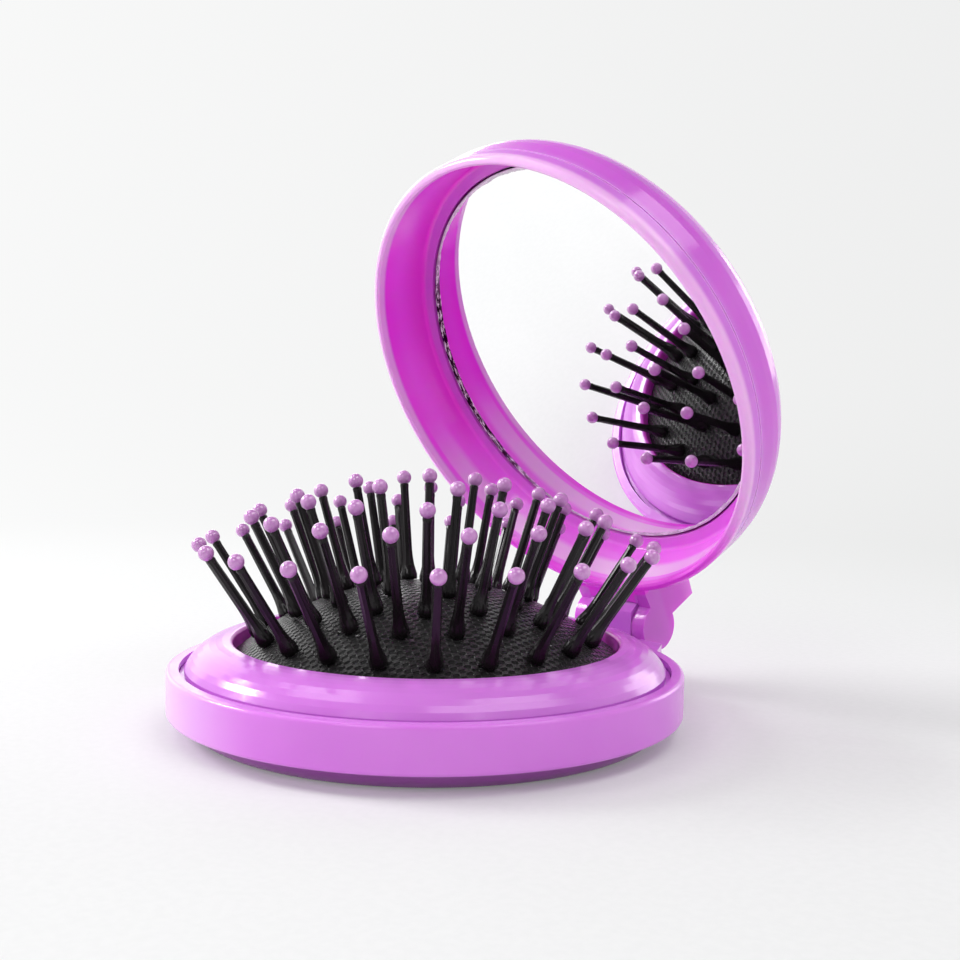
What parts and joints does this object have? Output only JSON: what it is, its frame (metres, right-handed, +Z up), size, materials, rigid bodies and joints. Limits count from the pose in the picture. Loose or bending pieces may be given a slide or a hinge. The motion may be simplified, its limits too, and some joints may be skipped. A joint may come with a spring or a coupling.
{
  "type": "folding hairbrush with mirror",
  "caption": "Round folding hairbrush: a pop-up cushion of ball-tipped pins in a shallow base, and a hinged lid that holds a mirror.",
  "frame": {"origin": "on the table under the middle of the base, at the height of its flat underside", "axes": "+Z up, +X along the hinge, +Y from the middle of the base towards the hinge"},
  "size_m": [0.066, 0.0794, 0.0761],
  "materials": {
    "shell": "glossy orchid ABS, slightly translucent",
    "lid_shell": "glossy orchid ABS, slightly translucent",
    "rubber": "matte black rubber with a woven relief",
    "pins": "satin black nylon",
    "tips": "pearly lilac balls",
    "mirror": "silvered glass with a cut edge",
    "foam": "white adhesive foam",
    "steel": "bright steel wire"
  },
  "bodies": {
    "base": {"base_shell": "shell", "cushion_ring": "shell", "cushion": "rubber", "hinge_pin": "steel"},
    "lid": {"lid_shell": "lid_shell", "mirror_glass": "mirror", "mirror_pad": "foam"},
    "pad_third": {"pins_third": "pins", "tips_third": "tips"},
    "pad_middle": {"pins_middle": "pins", "tips_middle": "tips"},
    "pad_inner": {"pins_inner": "pins", "tips_inner": "tips"},
    "pad_centre": {"pin_centre": "pins", "tip_centre": "tips", "pop_button": "shell"},
    "pad_outer_1": {"outer_pins_1": "pins", "outer_tips_1": "tips"},
    "pad_outer_2": {"outer_pins_2": "pins", "outer_tips_2": "tips"},
    "pad_outer_3": {"outer_pins_3": "pins", "outer_tips_3": "tips"},
    "pad_outer_4": {"outer_pins_4": "pins", "outer_tips_4": "tips"},
    "pad_outer_5": {"outer_pins_5": "pins", "outer_tips_5": "tips"},
    "pad_outer_6": {"outer_pins_6": "pins", "outer_tips_6": "tips"},
    "pad_outer_7": {"outer_pins_7": "pins", "outer_tips_7": "tips"}
  },
  "joints": [
    {"name": "lid_hinge", "type": "hinge", "parent": "base", "child": "lid", "pos_m": [0, 0.0388, 0.0092], "axis": [-1, 0, 0], "range_deg": [-63.5, 0]},
    {"name": "pad_slide", "type": "slide", "parent": "base", "child": "pad_third", "axis": [0, 0, 1], "range_m": [-0.01158, 0], "deforming": ["cushion"]},
    {"name": "pad_middle_slide", "type": "slide", "parent": "pad_third", "child": "pad_middle", "axis": [0, 0, 1], "range_m": [-0.00192, 0]},
    {"name": "pad_inner_slide", "type": "slide", "parent": "pad_third", "child": "pad_inner", "axis": [0, 0, 1], "range_m": [-0.00387, 0]},
    {"name": "pad_centre_slide", "type": "slide", "parent": "pad_third", "child": "pad_centre", "axis": [0, 0, 1], "range_m": [-0.00482, 0]},
    {"name": "pad_outer_1_tilt", "type": "hinge", "parent": "base", "child": "pad_outer_1", "pos_m": [0.07988, 0.01762, -0.0035], "axis": [0.2155, -0.9765, 0], "range_deg": [0, 8]},
    {"name": "pad_outer_2_tilt", "type": "hinge", "parent": "base", "child": "pad_outer_2", "pos_m": [0.03602, 0.07344, -0.0035], "axis": [0.8978, -0.4404, 0], "range_deg": [0, 8]},
    {"name": "pad_outer_3_tilt", "type": "hinge", "parent": "base", "child": "pad_outer_3", "pos_m": [-0.03496, 0.07395, -0.0035], "axis": [0.9041, 0.4274, 0], "range_deg": [0, 8]},
    {"name": "pad_outer_4_tilt", "type": "hinge", "parent": "base", "child": "pad_outer_4", "pos_m": [-0.07962, 0.01878, -0.0035], "axis": [0.2296, 0.9733, 0], "range_deg": [0, 8]},
    {"name": "pad_outer_5_tilt", "type": "hinge", "parent": "base", "child": "pad_outer_5", "pos_m": [-0.06432, -0.05054, -0.0035], "axis": [-0.6178, 0.7863, 0], "range_deg": [0, 8]},
    {"name": "pad_outer_6_tilt", "type": "hinge", "parent": "base", "child": "pad_outer_6", "pos_m": [-0.00059, -0.0818, -0.0035], "axis": [-1, 0.0072, 0], "range_deg": [0, 8]},
    {"name": "pad_outer_7_tilt", "type": "hinge", "parent": "base", "child": "pad_outer_7", "pos_m": [0.06358, -0.05146, -0.0035], "axis": [-0.6291, -0.7773, 0], "range_deg": [0, 8]}
  ],
  "couplings": [
    {"joint": "pad_slide", "follows": "lid_hinge", "m_per_rad": 0.010448},
    {"joint": "pad_middle_slide", "follows": "lid_hinge", "m_per_rad": 0.0017324},
    {"joint": "pad_inner_slide", "follows": "lid_hinge", "m_per_rad": 0.0034918},
    {"joint": "pad_centre_slide", "follows": "lid_hinge", "m_per_rad": 0.004349},
    {"joint": "pad_outer_1_tilt", "follows": "lid_hinge", "ratio": -0.12598},
    {"joint": "pad_outer_2_tilt", "follows": "lid_hinge", "ratio": -0.12598},
    {"joint": "pad_outer_3_tilt", "follows": "lid_hinge", "ratio": -0.12598},
    {"joint": "pad_outer_4_tilt", "follows": "lid_hinge", "ratio": -0.12598},
    {"joint": "pad_outer_5_tilt", "follows": "lid_hinge", "ratio": -0.12598},
    {"joint": "pad_outer_6_tilt", "follows": "lid_hinge", "ratio": -0.12598},
    {"joint": "pad_outer_7_tilt", "follows": "lid_hinge", "ratio": -0.12598}
  ]
}
